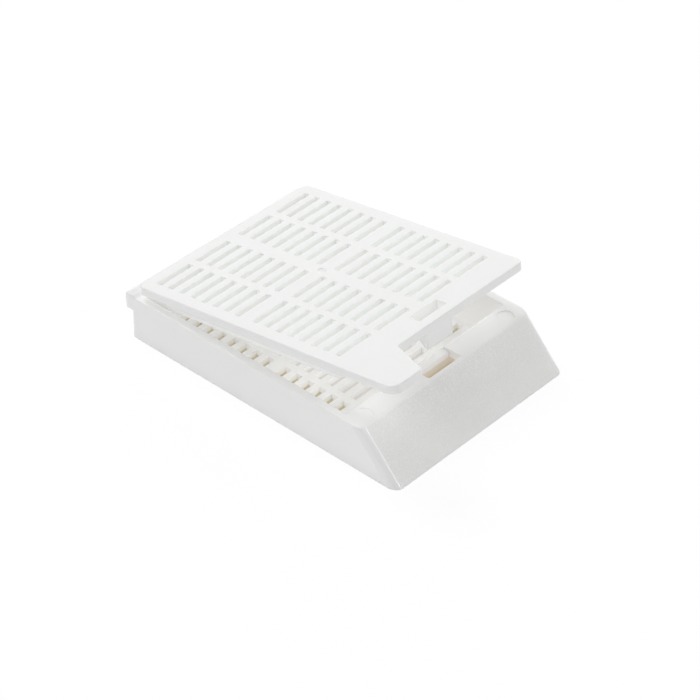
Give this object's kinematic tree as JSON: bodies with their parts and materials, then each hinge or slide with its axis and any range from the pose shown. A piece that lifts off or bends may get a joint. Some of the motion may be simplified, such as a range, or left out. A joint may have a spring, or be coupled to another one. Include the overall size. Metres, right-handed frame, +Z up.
{
  "type": "tissue cassette",
  "caption": "Shallow slotted specimen tray with a slanted writing face and a hinged slotted lid with a thumb tab and a hooked latch.",
  "frame": {"origin": "middle of the bounding box, on the surface the tray stands on", "axes": "+X towards the slanted writing face, -Y the long side with the lid's thumb tab, +Z up"},
  "size_m": [0.041, 0.0286, 0.0134],
  "materials": {
    "base": "white acetal with a fine spark-eroded grain on the writing face",
    "lid": "white acetal, smooth satin from the mould"
  },
  "bodies": {
    "base": {"base": "base"},
    "lid": {"lid": "lid"}
  },
  "joints": [
    {"name": "lid_hinge", "type": "hinge", "parent": "base", "child": "lid", "pos_m": [-0.01957, 0, 0.0048], "axis": [0, -1, 0], "range_deg": [-9.7, 95]}
  ]
}
